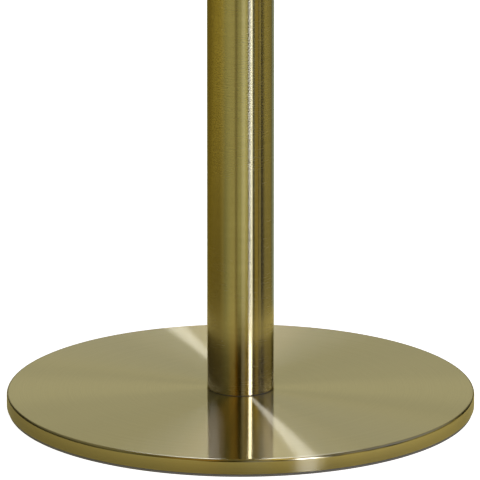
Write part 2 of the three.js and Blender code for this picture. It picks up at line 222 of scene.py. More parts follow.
def boolean(obj, tool, operation):
    """obj joined with or cut by tool, which is then removed."""
    modifier = obj.modifiers.new(operation, "BOOLEAN")
    modifier.operation = operation
    modifier.solver = "EXACT"
    modifier.object = tool
    depsgraph = bpy.context.evaluated_depsgraph_get()
    mesh = bpy.data.meshes.new_from_object(obj.evaluated_get(depsgraph))
    obj.modifiers.clear()
    obj.data = mesh
    bpy.data.objects.remove(tool)
    bm = bmesh.new()
    bm.from_mesh(mesh)
    bmesh.ops.remove_doubles(bm, verts=bm.verts, dist=1e-7)
    shade(bm)
    bm.to_mesh(mesh)
    bm.free()
    return obj


def plate(name, loops, low, high, ease):
    """A flat plate with eased edges. loops are [(x, y)] outlines in mm: the outer one, then its holes."""
    curve = bpy.data.curves.new(name, "CURVE")
    curve.dimensions = "2D"
    curve.fill_mode = "BOTH"
    curve.extrude = ((high - low) / 2 - ease) * MM
    curve.bevel_depth = ease * MM
    curve.bevel_resolution = 3
    curve.offset = -ease * MM
    for loop in loops:
        spline = curve.splines.new("POLY")
        spline.points.add(len(loop) - 1)
        spline.use_cyclic_u = True
        for point, (x, y) in zip(spline.points, loop):
            point.co = (x * MM, y * MM, 0, 1)
    maker = bpy.data.objects.new(name + "_curve", curve)
    bpy.context.scene.collection.objects.link(maker)
    mesh = bpy.data.meshes.new_from_object(maker.evaluated_get(bpy.context.evaluated_depsgraph_get()))
    bpy.data.objects.remove(maker)
    bm = bmesh.new()
    bm.from_mesh(mesh)
    bpy.data.meshes.remove(mesh)
    bmesh.ops.remove_doubles(bm, verts=bm.verts, dist=1e-6)
    bmesh.ops.translate(bm, verts=bm.verts, vec=(0, 0, (low + high) / 2 * MM))
    return finished(name, bm)


def circle(centre_x, centre_y, size, steps):
    angles = [2 * math.pi * i / steps for i in range(steps)]
    return [(centre_x + size * math.cos(a), centre_y + size * math.sin(a)) for a in angles]


# ---------------------------------------------------------------- materials


class Graph:
    """Short ways to make the nodes of one tree."""

    def __init__(self, tree):
        self.tree = tree

    def node(self, kind, **settings):
        made = self.tree.nodes.new("ShaderNode" + kind)
        for key, value in settings.items():
            setattr(made, key, value)
        return made

    def plug(self, socket, value):
        if isinstance(value, bpy.types.NodeSocket):
            self.tree.links.new(value, socket)
        elif value is not None:
            socket.default_value = value

    def math(self, operation, a, b=None):
        made = self.node("Math", operation=operation)
        for socket, value in zip(made.inputs, (a, b)):
            self.plug(socket, value)
        return made.outputs[0]

    def weighted(self, *terms):
        """The sum of (value, weight) terms."""
        total = 0.0
        for value, weight in terms:
            total = self.math("ADD", self.math("MULTIPLY", value, weight), total)
        return total

    def remap(self, value, from_min, from_max, to_min=0.0, to_max=1.0, kind="LINEAR"):
        made = self.node("MapRange", interpolation_type=kind)
        for socket, item in zip(made.inputs, (value, from_min, from_max, to_min, to_max)):
            self.plug(socket, item)
        return made.outputs[0]

    def mix(self, share, a, b, blend="MIX"):
        made = self.node("Mix", data_type="RGBA", blend_type=blend)
        self.plug(made.inputs["Factor"], share)
        self.plug(made.inputs[6], a)
        self.plug(made.inputs[7], b)
        return made.outputs[2]

    def noise(self, vector, scale, detail=2.0, roughness=0.5):
        made = self.node("TexNoise")
        self.plug(made.inputs["Vector"], vector)
        for name, value in (("Scale", scale), ("Detail", detail), ("Roughness", roughness)):
            made.inputs[name].default_value = value
        return made.outputs[0]

    def combine(self, x, y, z):
        made = self.node("CombineXYZ")
        for socket, value in zip(made.inputs, (x, y, z)):
            self.plug(socket, value)
        return made.outputs[0]

    def split(self, vector):
        made = self.node("SeparateXYZ")
        self.plug(made.inputs[0], vector)
        return made.outputs

    def bump(self, height, strength, distance):
        made = self.node("Bump")
        made.inputs["Strength"].default_value = strength
        made.inputs["Distance"].default_value = distance
        self.plug(made.inputs["Height"], height)
        return made.outputs[0]


def new_material(name):
    material = bpy.data.materials.new(name)
    material.use_nodes = True
    return material, Graph(material.node_tree), material.node_tree.nodes["Principled BSDF"]


def shades(colour, spread):
    """A darker and a paler colour about the given one. The blue changes most, as it does in tarnish."""
    spreads = (spread, spread, spread * 1.6)
    deep = [c * (1 - s) for c, s in zip(colour, spreads)]
    pale = [min(1, c * (1 + s)) for c, s in zip(colour, spreads)]
    return (*deep, 1), (*pale, 1)


def from_axis(g, x, y):
    """Distance from Z."""
    return g.math("SQRT", g.math("ADD", g.math("MULTIPLY", x, x), g.math("MULTIPLY", y, y)))


def brush_lines(g, line_mm, wander=2.0):
    """Where to read noise that is drawn out round Z, in lines about line_mm apart, with no UVs.

    Returns that vector, the point itself, and its distance from Z.
    """
    point = g.node("TexCoord").outputs["Object"]
    x, y, z = g.split(point)
    out = from_axis(g, x, y)
    safe = g.math("MAXIMUM", out, 1e-5)
    per_metre = 1 / (line_mm * MM)
    vector = g.combine(
        g.weighted((g.math("DIVIDE", x, safe), wander), (out, per_metre)),
        g.math("MULTIPLY", g.math("DIVIDE", y, safe), wander),
        g.math("MULTIPLY", z, per_metre),
    )
    return vector, point, out


def brushed_brass(name, tint, core, scratch, scratch_share, line_mm=0.5, uneven=1.0, dull_edge=1.0):
    """Lacquered brass brushed round Z: a clear reflection, and scratches that spread light across the lines.

    core and scratch are each (blur along the lines, blur across them), as GGX alpha. uneven scales
    every variation. Towards the base's edge, where the brush is coarser, both get dull_edge times rougher.
    """
    material, g, shader = new_material(name)
    vector, point, out = brush_lines(g, line_mm)
    fine = g.noise(vector, 1.0, 3.0, 0.6)
    wide = g.noise(vector, 0.16, 2.0)
    cloud = g.noise(point, 9.0, 3.0, 0.55)
    deep, pale = shades(tint, 0.055 * uneven)
    tone = g.remap(g.weighted((fine, 0.45), (wide, 0.3), (cloud, 0.25)), 0.3, 0.7)
    colour = g.mix(tone, deep, pale)
    grain = g.bump(fine, 0.25 * uneven, 0.00001)
    wear = g.weighted((fine, 0.5), (cloud, 0.5))
    dull = g.remap(out, (BASE_R - EDGE_R) * MM, (BASE_R - EDGE_R / 2) * MM, 1.0, dull_edge)
    tangent = g.node("Tangent", direction_type="RADIAL", axis="Z").outputs[0]
    scratches = g.node("BsdfAnisotropic")
    for made, (along, across), spread in ((shader, core, 0.12 * uneven), (scratches, scratch, 0.06 * uneven)):
        roughness = (along * across) ** 0.25
        worn = g.remap(wear, 0.3, 0.7, roughness * (1 - spread), roughness * (1 + spread))
        g.plug(made.inputs["Roughness"], g.math("MULTIPLY", worn, dull))
        g.plug(made.inputs["Normal"], grain)
        g.plug(made.inputs["Tangent"], tangent)
    # The two shaders turn anisotropy into the ratio of the two blurs by rules of their own
    g.plug(shader.inputs["Base Color"], colour)
    shader.inputs["Metallic"].default_value = 1.0
    shader.inputs["Anisotropic"].default_value = (1 - core[0] / core[1]) / 0.9
    shader.inputs["Anisotropic Rotation"].default_value = 0.25
    shader.inputs["Coat Weight"].default_value = 0.3
    shader.inputs["Coat Roughness"].default_value = 0.04
    g.plug(scratches.inputs["Color"], colour)
    scratches.inputs["Anisotropy"].default_value = 1 - math.sqrt(scratch[0] / scratch[1])
    least, most = scratch_share - 0.08 * uneven, scratch_share + 0.08 * uneven
    both = g.node("MixShader")
    g.plug(both.inputs[0], g.remap(fine, 0.3, 0.7, least, most))
    g.plug(both.inputs[1], shader.outputs[0])
    g.plug(both.inputs[2], scratches.outputs[0])
    g.plug(material.node_tree.nodes["Material Output"].inputs[0], both.outputs[0])
    return material


def plain_metal(name, colour, roughness, grain_scale, bump_strength, metallic=1.0, spread=0.1):
    """Metal without a turned direction: tone, roughness and bump from the same grain."""
    material, g, shader = new_material(name)
    point = g.node("TexCoord").outputs["Object"]
    grain = g.noise(point, grain_scale, 5.0, 0.6)
    slow = g.noise(point, grain_scale / 12, 2.0, 0.5)
    deep, pale = shades(colour, spread)
    g.plug(shader.inputs["Base Color"], g.mix(g.remap(slow, 0.35, 0.65), deep, pale))
    g.plug(shader.inputs["Roughness"], g.remap(grain, 0.3, 0.7, roughness - 0.06, roughness + 0.06))
    g.plug(shader.inputs["Normal"], g.bump(grain, bump_strength, 0.0002))
    shader.inputs["Metallic"].default_value = metallic
    return material


def machined(name, colour, roughness, line_mm=0.12):
    """Metal with fine turning marks round Z."""
    material, g, shader = new_material(name)
    vector, point, _ = brush_lines(g, line_mm, 1.0)
    marks = g.noise(vector, 1.0, 2.0)
    slow = g.noise(point, 60.0, 2.0)
    deep, pale = shades(colour, 0.08)
    g.plug(shader.inputs["Base Color"], g.mix(g.weighted((marks, 0.5), (slow, 0.5)), deep, pale))
    g.plug(shader.inputs["Roughness"], g.remap(marks, 0.3, 0.7, roughness - 0.05, roughness + 0.05))
    g.plug(shader.inputs["Normal"], g.bump(marks, 0.3, 0.00001))
    shader.inputs["Metallic"].default_value = 1.0
    return material


def moulded(name, colour, roughness, grain_scale=1800.0, bump_strength=0.15):
    """Rubber or plastic with a fine moulded grain."""
    material, g, shader = new_material(name)
    point = g.node("TexCoord").outputs["Object"]
    grain = g.noise(point, grain_scale, 3.0, 0.6)
    slow = g.noise(point, 40.0, 3.0)
    deep, pale = shades(colour, 0.18)
    g.plug(shader.inputs["Base Color"], g.mix(slow, deep, pale))
    g.plug(shader.inputs["Roughness"], g.remap(grain, 0.3, 0.7, roughness - 0.06, roughness + 0.06))
    g.plug(shader.inputs["Normal"], g.bump(grain, bump_strength, 0.0001))
    return material


BRASS_TINT = (0.7, 0.6, 0.33)
cover_brass = brushed_brass(
    "satin_brass_cover", BRASS_TINT, core=(0.006, 0.007), scratch=(0.008, 0.8), scratch_share=0.42,
    line_mm=0.8, uneven=0.2, dull_edge=1.7)
tube_brass = brushed_brass(
    "satin_brass_tube", BRASS_TINT, core=(0.007, 0.04), scratch=(0.010, 0.5), scratch_share=0.5,
    line_mm=0.8, uneven=1.4)
head_brass = brushed_brass(
    "satin_brass_head", BRASS_TINT, core=(0.012, 0.05), scratch=(0.020, 0.6), scratch_share=0.4,
    line_mm=0.35)
turned_brass = machined("turned_brass", (0.72, 0.58, 0.30), 0.24)
cast_iron = plain_metal("cast_iron", (0.045, 0.043, 0.041), 0.62, 420.0, 0.5, metallic=0.25, spread=0.2)
zinc = machined("zinc_plate", (0.62, 0.63, 0.64), 0.30)
cast_alloy = plain_metal("cast_alloy", (0.45, 0.46, 0.47), 0.48, 500.0, 0.3)
black_oxide = plain_metal("black_oxide", (0.03, 0.03, 0.032), 0.4, 900.0, 0.1, metallic=0.9)
rubber = moulded("rubber", (0.10, 0.093, 0.075), 0.72)
nylon = moulded("nylon", (0.68, 0.65, 0.56), 0.45, 900.0, 0.05)

# ---------------------------------------------------------------- putting a piece in place


def place(obj, material, body="stanchion"):
    """Gives a piece its material, body and slot. It stands for the CAD node that it is named after."""
    obj.data.materials.clear()
    obj.data.materials.append(material)
    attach(obj, body)
    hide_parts(obj.name.removesuffix("_fine"))


# ---------------------------------------------------------------- base


def cover_height(r, drop=0.0):
    share = max(r - LAND_R, 0) / (BASE_R - EDGE_R - LAND_R)
    return RIM_TOP + CROWN * (1 - share ** 2) - drop


def crown(from_r, to_r, drop, steps=22):
    radii = [from_r + (to_r - from_r) * i / steps for i in range(steps + 1)]
    return [(r, cover_height(r, drop), 0) for r in radii]


def make_cover():
    edge_r = BASE_R - EDGE_R
    bend_r = BASE_R - LIP_BEND
    corners = [
        *arc(bend_r, COVER_LOW + LIP_BEND, LIP_BEND, -90, 0, 9),
        *arc(edge_r, RIM_TOP - EDGE_R, EDGE_R, 0, 90, 6),
        (edge_r - 0.3, cover_height(edge_r - 0.3), 0),
        *crown(edge_r - 3, LAND_R, 0),
        (COVER_HOLE_R, LAND_Z, 0.2),
        (COVER_HOLE_R, LAND_Z - SHEET, 0.2),
        *crown(LAND_R, edge_r - 1, SHEET, 8),
        *arc(edge_r, RIM_TOP - EDGE_R, EDGE_R - SHEET, 90, 0, 15),
        *arc(bend_r, COVER_LOW + LIP_BEND, LIP_BEND - SHEET, 0, -90, 30),
        (BASE_R - LIP_WIDTH, COVER_LOW + SHEET, 0.3),
        (BASE_R - LIP_WIDTH, COVER_LOW, 0.3),
    ]
    place(turned("base_cover_fine", corners, 256), cover_brass)


def make_weight():
    """Cast disc: rounded as sand casting leaves it, with a machined boss, recess, relief and groove."""
    drop = SHEET + FIT_GAP
    shoulder = 3.0
    outer = WEIGHT_R - shoulder
    relief_in_r, relief_out_r, relief = 60.0, 121.0, 1.0
    relief_z = WEIGHT_BOTTOM + relief
    corners = [
        (GROOVE_OUT_R + FIT_GAP, WEIGHT_BOTTOM, 0.4),
        (WEIGHT_R, WEIGHT_BOTTOM, 0.8),
        (WEIGHT_R, RIM_TOP - drop - shoulder, 1.5),
        (outer, cover_height(outer, drop), 1.5),
        *crown(outer - 8, LAND_R, drop, 8),
        (BOSS_R, LAND_Z - drop, 0),
        (BOSS_R, BOSS_TOP - 1.5, 0.4),
        (BOSS_R - 1.5, BOSS_TOP, 0.4),
        (ROD_HOLE_R, BOSS_TOP, 0.4),
        (ROD_HOLE_R, RECESS_TOP, 0.3),
        (RECESS_R, RECESS_TOP, 0.6),
        (RECESS_R, WEIGHT_BOTTOM, 0.8),
        (relief_in_r, WEIGHT_BOTTOM, 0.6),
        (relief_in_r + relief, relief_z, 0.6),
        (relief_out_r - relief, relief_z, 0.6),
        (relief_out_r, WEIGHT_BOTTOM, 0.6),
        (GROOVE_IN_R - FIT_GAP, WEIGHT_BOTTOM, 0.4),
        (GROOVE_IN_R - FIT_GAP, WEIGHT_BOTTOM + GROOVE_DEPTH, 0.4),
        (GROOVE_OUT_R + FIT_GAP, WEIGHT_BOTTOM + GROOVE_DEPTH, 0.4),
    ]
    place(turned("base_weight_fine", corners, 200), cast_iron)


def make_rubber():
    """Floor ring with three grip grooves underneath and a tongue in the weight's groove."""
    groove_depth, groove_ease = 0.7, 0.2
    grooves = []
    for groove_r in (160.0, 165.0, 170.0):
        for step_r, z in ((0, 0), (0.4, groove_depth), (1.4, groove_depth), (1.8, 0)):
            grooves.append((groove_r + step_r, z, groove_ease))
    inner_lip_r = BASE_R - LIP_WIDTH - FIT_GAP
    tongue_top = WEIGHT_BOTTOM + GROOVE_DEPTH - FIT_GAP
    corners = [
        (RUBBER_IN_R, 0, 0.5),
        *grooves,
        (RUBBER_OUT_R, 0, 0.6),
        (RUBBER_OUT_R, COVER_LOW, 0.2),
        (inner_lip_r, COVER_LOW, 0.1),
        (inner_lip_r, WEIGHT_BOTTOM, 0.2),
        (GROOVE_OUT_R, WEIGHT_BOTTOM, 0.1),
        (GROOVE_OUT_R, tongue_top, 0.5),
        (GROOVE_IN_R, tongue_top, 0.5),
        (GROOVE_IN_R, WEIGHT_BOTTOM, 0.1),
        (RUBBER_IN_R, WEIGHT_BOTTOM, 0.4),
    ]
    place(turned("floor_protector_fine", corners, 224, 18), rubber)


make_cover()
make_weight()
make_rubber()

# ---------------------------------------------------------------- rod, nuts and washers


def hexagon_r(angle, flats):
    """Distance from the middle of a hexagon to its side, with slightly rounded corners."""
    to_side = (angle % (math.pi / 3)) - math.pi / 6
    return min(flats / 2 / math.cos(to_side), flats / 2 / math.cos(math.pi / 6) - 0.12)


def make_nut(node):
    """Hexagon nut with both faces chamfered at 30 degrees and a countersunk bore."""
    low, high = heights(node)
    bore_r = ROD_R + 0.1
    mouth = 0.5
    face_r = NUT_FLATS / 2 - 0.2

    def side(from_z, towards):
        def at(angle):
            r = hexagon_r(angle, NUT_FLATS)
            return r, from_z + towards * (r - face_r) * math.tan(math.pi / 6)
        return at

    rows = [
        (bore_r, high - mouth), (bore_r, low + mouth), (bore_r + mouth, low), (face_r, low),
        side(low, 1), side(high, -1),
        (face_r, high), (bore_r + mouth, high),
    ]
    place(revolved(node + "_fine", rows, 96), zinc)


def make_lock_washer():
    """Split spring washer, cut through at a slant."""
    low, high = heights("base_lock_washer")
    outer_r = 8.6
    ease = 0.2
    corners = [(ROD_HOLE_R, low, ease), (outer_r, low, ease), (outer_r, high, ease), (ROD_HOLE_R, high, ease)]
    outline = fillets(corners, 30, 0.3)
    middle = (low + high) / 2
    half_slot = 0.45
    slant = math.tan(math.radians(25))
    steps = 72
    bm = bmesh.new()
    sections = []
    for i in range(steps + 1):
        section = []
        for r, z in outline:
            lean = (z - middle) * slant
            first = math.asin((half_slot - lean) / r)
            last = 2 * math.pi - math.asin((half_slot + lean) / r)
            angle = first + (last - first) * i / steps
            section.append(bm.verts.new((r * MM * math.cos(angle), r * MM * math.sin(angle), z * MM)))
        sections.append(section)
    for a, b in zip(sections, sections[1:]):
        for k in range(len(outline)):
            n = (k + 1) % len(outline)
            bm.faces.new([a[k], a[n], b[n], b[k]])
    bm.faces.new(sections[0])
    bm.faces.new(sections[-1])
    place(finished("base_lock_washer_fine", bm), zinc)


def make_rod():
    """Tie rod with a cut thread at each end."""
    rows_per_turn = 6
    end_ease = 1.0
    lower_thread, upper_thread, runout = 32, 44, 0.6

    def threaded(z):
        def at(angle):
            turn = (z / THREAD_PITCH - angle / (2 * math.pi)) % 1
            sunk = min(1, max(0, abs(turn - 0.5) * 2.4 - 0.2))  # 0 on the crest's flat, 1 at the root
            to_end = min(z - ROD_BOTTOM, ROD_TOP - z)
            return min(ROD_R - THREAD_DEPTH * sunk, ROD_R - end_ease + max(0, to_end)), z
        return at

    def thread_rows(low, high):
        count = round((high - low) / THREAD_PITCH * rows_per_turn)
        return [threaded(low + (high - low) * i / count) for i in range(count + 1)]

    lower_end, upper_start = ROD_BOTTOM + lower_thread, ROD_TOP - upper_thread
    shank = [(ROD_R, lower_end + runout), (ROD_R, upper_start - runout)]
    rows = [
        (0, ROD_BOTTOM), *thread_rows(ROD_BOTTOM, lower_end), *shank,
        *thread_rows(upper_start, ROD_TOP), (0, ROD_TOP),
    ]
    place(revolved("tie_rod_fine", rows, 32, closed=False), zinc)


def make_washer(node, outer, material, inner=ROD_HOLE_R):
    low, high = heights(node)
    place(ring(node + "_fine", inner, outer, low, high), material)


make_nut("base_nut")
make_nut("head_nut")
make_lock_washer()
make_rod()
make_washer("base_washer", 19.0, zinc)
make_washer("head_washer", 9.8, zinc)

# ---------------------------------------------------------------- post


def make_tube():
    steps = 40
    straight = [(TUBE_R, TUBE_BOTTOM + (TUBE_TOP - TUBE_BOTTOM) * i / steps, 0) for i in range(1, steps)]
    corners = [
        (TUBE_BORE_R, TUBE_BOTTOM, 0.2),
        (TUBE_R, TUBE_BOTTOM, 0.25),
        *straight,
        (TUBE_R, TUBE_TOP, 0.25),
        (TUBE_BORE_R, TUBE_TOP, 0.2),
    ]
    place(turned("post_tube_fine", corners, 144, 22), tube_brass)


def make_foot_plug():
    low, high = heights("foot_plug")
    socket_r = BOSS_R + FIT_GAP
    corners = [
        (socket_r, low, 0.15),
        (SPIGOT_R, low, 0.15),
        (SPIGOT_R, high, 0.8),
        (ROD_HOLE_R + 3, high, 0.5),
        (ROD_HOLE_R, high - 1.5, 0.3),
        (ROD_HOLE_R, BOSS_TOP + FIT_GAP, 0.3),
        (socket_r, BOSS_TOP + FIT_GAP, 0.8),
    ]
    place(turned("foot_plug_fine", corners, 96, 18), cast_alloy)


def make_rod_guide():
    low, high = heights("rod_guide")
    window_at, window_r = 14, 5
    angles = [2 * math.pi * i / 3 for i in range(3)]
    windows = [circle(window_at * math.cos(a), window_at * math.sin(a), window_r, 32) for a in angles]
    loops = [circle(0, 0, SPIGOT_R, 96), circle(0, 0, ROD_HOLE_R, 48), *windows]
    place(plate("rod_guide_fine", loops, low, high, 0.5), nylon)


make_tube()
make_washer("tube_gasket", TUBE_R - FIT_GAP, rubber, COVER_HOLE_R + FIT_GAP)
make_foot_plug()
make_rod_guide()

# ---------------------------------------------------------------- head


def make_head_plug():
    hub_r, skirt_r = 9.0, 21.0
    web = TUBE_TOP - 5
    corners = [
        (skirt_r, SPIGOT_BOTTOM, 0.3),
        (SPIGOT_R, SPIGOT_BOTTOM, 0.8),
        (SPIGOT_R, TUBE_TOP, 0),
        (TUBE_R, TUBE_TOP, 0.25),
        (TUBE_R, FLANGE_TOP, 0.6),
        (JOURNAL_R, FLANGE_TOP, 0.2),
        (JOURNAL_R, NECK_BOTTOM, 0.3),
        (COUNTERBORE_R, NECK_BOTTOM, 0.3),
        (COUNTERBORE_R, COUNTERBORE_Z, 0.3),
        (ROD_HOLE_R, COUNTERBORE_Z, 0.2),
        (ROD_HOLE_R, SPIGOT_BOTTOM, 0.3),
        (hub_r, SPIGOT_BOTTOM, 0.3),
        (hub_r, web, 1.5),
        (skirt_r, web, 1.5),
    ]
    place(turned("head_plug_fine", corners, 144), head_brass)


def slot_outline(middle_deg):
    """Kidney slot of the ring: between hub, band and two spokes, with round corners."""
    corner_r = 3.0
    inner_r, outer_r = HUB_R + 0.4, BAND_R - BAND_HALF_W + 0.1
    spoke_deg = 45
    ends = []
    for r in (outer_r - corner_r, inner_r + corner_r):
        ends.append((r, spoke_deg - math.degrees(math.asin((SPOKE_W / 2 + corner_r) / r))))
    (far_r, far_deg), (near_r, near_deg) = ends

    def corner(r, at_deg, from_deg, to_deg):
        a = math.radians(at_deg)
        return arc(r * math.cos(a), r * math.sin(a), corner_r, from_deg, to_deg, 11)

    half = [
        *arc(0, 0, outer_r, 0, far_deg, 3)[:-1],
        *corner(far_r, far_deg, far_deg, spoke_deg + 90),
        *corner(near_r, near_deg, spoke_deg + 90, near_deg + 180),
        *arc(0, 0, inner_r, near_deg, 0, 3)[1:],
    ]
    mirrored = [(x, -y, size) for x, y, size in reversed(half[1:-1])]
    turn = Matrix.Rotation(math.radians(middle_deg), 2)
    return [tuple(turn @ Vector((x, y))) for x, y, _ in half + mirrored]


def make_rope_ring():
    middle = (RING_BOTTOM + RING_TOP) / 2
    bore_r = JOURNAL_R + FIT_GAP
    hub = turned("rope_ring_fine", [
        (bore_r, RING_BOTTOM, 0.3),
        (TUBE_R, RING_BOTTOM, 0.5),
        (HUB_R, RING_BOTTOM + 2, 0.8),
        (HUB_R, RING_TOP, 0.8),
        (bore_r, RING_TOP, 0.3),
    ], 144)
    round_r = 2.2
    inner, outer = BAND_R - BAND_HALF_W, BAND_R + BAND_HALF_W
    band = turned("band", [
        (inner, middle - BAND_HALF_H, round_r),
        (outer, middle - BAND_HALF_H, round_r),
        (outer, middle + BAND_HALF_H, round_r),
        (inner, middle + BAND_HALF_H, round_r),
    ], 144, 12)
    slots = [slot_outline(middle_deg) for middle_deg in (0, 90, 180, 270)]
    loops = [circle(0, 0, BAND_R, 96), circle(0, 0, (HUB_R + bore_r) / 2, 64), *slots]
    web = plate("web", loops, middle - SPOKE_HALF_H, middle + SPOKE_HALF_H, 0.9)
    boolean(hub, web, "UNION")
    boolean(hub, band, "UNION")
    place(hub, head_brass, "rope_ring")


def make_neck():
    """Bead, hollow and collar under the ball, drilled at the back for the set screw."""
    bore_r = INSERT_R + FIT_GAP
    bead_top = NECK_BOTTOM + 3
    hollow_foot, hollow_top, hollow_h = 24.5, 15.5, 7.0
    hollow = []
    for deg in range(0, 91, 5):
        a = math.radians(deg)
        r = hollow_foot - (hollow_foot - hollow_top) * math.sin(a)
        hollow.append((r, bead_top + hollow_h * (1 - math.cos(a)), 0))
    collar_root_r, collar_r, collar_half_h = 16.0, 17.0, 0.8
    collar_z = (bead_top + hollow_h + NECK_TOP) / 2
    corners = [
        (bore_r, NECK_BOTTOM, 0.3),
        (HUB_R, NECK_BOTTOM, 1.2),
        (HUB_R, bead_top, 1.2),
        *hollow,
        (collar_root_r, bead_top + hollow_h, 0.2),
        (collar_r, collar_z - collar_half_h, 0.7),
        (collar_r, collar_z + collar_half_h, 0.7),
        (collar_root_r, NECK_TOP, 0.3),
        (bore_r, NECK_TOP, 0.3),
    ]
    neck = turned("finial_neck_fine", corners, 144)
    hole_r = SET_SCREW_R + FIT_GAP
    drill = revolved("drill", [(0, 0), (hole_r, 0), (hole_r, HUB_R), (0, HUB_R)], 48, closed=False)
    drill.data.transform(Matrix.Translation((0, 0, SET_SCREW_Z * MM)) @ Matrix.Rotation(-math.pi / 2, 4, "X"))
    boolean(neck, drill, "DIFFERENCE")
    place(neck, head_brass)


def make_set_screw():
    """Headless screw along +Y with a hexagon socket in its outer end."""
    inner_end, length, socket_depth = INSERT_R + FIT_GAP, 4.7, 2.0
    socket_flats = 2 * math.cos(math.pi / 6)
    socket_mouth = 1.08
    ease = 0.3

    def socket(z, scale=1.0):
        def at(angle):
            return hexagon_r(angle, socket_flats) * scale, z
        return at

    rows = [
        (0, 0), (SET_SCREW_R - 2 * ease, 0), (SET_SCREW_R, 2 * ease), (SET_SCREW_R, length - ease),
        (SET_SCREW_R - ease, length), socket(length, socket_mouth), socket(length - 0.1),
        socket(length - socket_depth), (0, length - socket_depth - 0.4),
    ]
    screw = revolved("finial_set_screw_fine", rows, 48, closed=False)
    turn = Matrix.Rotation(-math.pi / 2, 4, "X")
    screw.data.transform(Matrix.Translation((0, inner_end * MM, SET_SCREW_Z * MM)) @ turn)
    place(screw, black_oxide)


def make_insert():
    bore_r = 4.9
    flange_r = 12.5
    flange_low = NECK_TOP + BALL_WALL
    low, high = heights("finial_insert")
    corners = [
        (bore_r, low, 0.3),
        (INSERT_R, low, 0.3),
        (INSERT_R, flange_low, 0.1),
        (flange_r, flange_low, 0.3),
        (flange_r, high, 0.5),
        (bore_r, high, 0.4),
    ]
    place(turned("finial_insert_fine", corners, 96, 18), turned_brass)


def make_shells():
    inner_r = BALL_R - BALL_WALL
    inner_flat = BALL_FLAT - BALL_WALL
    flat_deg = -math.degrees(math.asin(BALL_FLAT / BALL_R))
    inner_flat_deg = -math.degrees(math.asin(inner_flat / inner_r))
    lip_out = inner_r - 0.6
    lip_in = lip_out - 1.2
    lip_rise = 2.5
    lip_root_deg = -math.degrees(math.acos(lip_out / inner_r))
    hole_r = INSERT_R + FIT_GAP
    seam = 0.15
    edge = 0.12
    lower = [
        (hole_r, -BALL_FLAT, 0.2),
        *arc(0, 0, BALL_R, flat_deg, -0.3),
        (BALL_R - edge, 0, 0),
        (lip_out, 0, 0),
        (lip_out, lip_rise, 0.2),
        (lip_in, lip_rise, 0.2),
        (lip_in, -lip_rise, 0.3),
        *arc(0, 0, inner_r, lip_root_deg, inner_flat_deg, 6),
        (hole_r, -inner_flat, 0.2),
    ]
    seam_deg = math.degrees(math.asin(seam / BALL_R))
    upper = [
        *arc(0, 0, inner_r, 90, seam_deg, 6),
        (BALL_R - edge, seam, 0),
        *arc(0, 0, BALL_R, seam_deg + 0.2, 90),
    ]
    lifted_lower = [(r, z + BALL_Z, size) for r, z, size in lower]
    place(turned("finial_lower_shell_fine", lifted_lower, 144), head_brass)
    lifted_upper = [(max(r, 0), z + BALL_Z) for r, z, _ in upper]
    upper_shell = revolved("finial_upper_shell_fine", lifted_upper, 144, closed=False)
    place(upper_shell, head_brass)


make_head_plug()
make_washer("lower_glide_washer", TUBE_R - 0.8, nylon, JOURNAL_R + FIT_GAP)
make_washer("upper_glide_washer", TUBE_R - 0.8, nylon, JOURNAL_R + FIT_GAP)
make_rope_ring()
make_neck()
make_set_screw()
make_insert()
make_shells()

# ---------------------------------------------------------------- camera, floor and light

CAMERA_PITCH = math.radians(16.06)
CAMERA_DISTANCE = 7.5
AIM = Vector((-0.0004, 0, 0.1327))  # the point of the axis in the middle of the picture
LENS = 743  # mm, on a sensor of 36 mm: the photo shows the base and a third of the tube


def make_camera():
    data = bpy.data.cameras.new("camera")
    data.sensor_width = 36
    data.lens = LENS
    data.clip_end = 100
    camera = bpy.data.objects.new("camera", data)
    bpy.context.scene.collection.objects.link(camera)
    away = Vector((0, -math.cos(CAMERA_PITCH), math.sin(CAMERA_PITCH)))
    camera.location = AIM + CAMERA_DISTANCE * away
    camera.rotation_euler = (math.pi / 2 - CAMERA_PITCH, 0, 0)
    bpy.context.scene.camera = camera


FLOOR_HALF_WIDTH = 6


def make_floor():
    """White floor. The metal doesn't reflect it: the room's panels stand for it there."""
    bm = bmesh.new()
    bmesh.ops.create_grid(bm, x_segments=1, y_segments=1, size=FLOOR_HALF_WIDTH)
    floor = finished("floor", bm)
    material, _, shader = new_material("pale_floor")
    shader.inputs["Base Color"].default_value = (0.85, 0.85, 0.85, 1)
    shader.inputs["Roughness"].default_value = 1.0
    shader.inputs["Specular IOR Level"].default_value = 0.0
    shader.inputs["Emission Color"].default_value = (1, 1, 1, 1)
    shader.inputs["Emission Strength"].default_value = 1.0
    floor.data.materials.append(material)
    floor.visible_glossy = False
    floor.visible_shadow = False


GLOW_R = 0.28
GLOW_COLOUR = (0.35, 0.31, 0.14, 1)


def make_sheet():
    """The lit floor round the foot, as the rim reflects it. Only reflections see it."""
    bm = bmesh.new()
    lift = Matrix.Translation((0, 0, 0.0002))
    bmesh.ops.create_circle(bm, cap_ends=True, segments=96, radius=GLOW_R, matrix=lift)
    sheet = finished("sheet", bm)
    material, g, shader = new_material("sheet_glow")
    x, y, _ = g.split(g.node("TexCoord").outputs["Object"])
    near, far = (BASE_R + 8) * MM, (BASE_R + 45) * MM
    to_right = g.remap(x, 0.0, BASE_R * MM, 1.0, 1.5, "SMOOTHSTEP")
    outwards = g.remap(from_axis(g, x, y), near, far, 0.8, 1.35)
    shader.inputs["Base Color"].default_value = (0, 0, 0, 1)
    shader.inputs["Specular IOR Level"].default_value = 0.0
    shader.inputs["Emission Color"].default_value = GLOW_COLOUR
    g.plug(shader.inputs["Emission Strength"], g.math("MULTIPLY", to_right, outwards))
    sheet.data.materials.append(material)
    sheet.visible_camera = False
    sheet.visible_diffuse = False
    sheet.visible_shadow = False


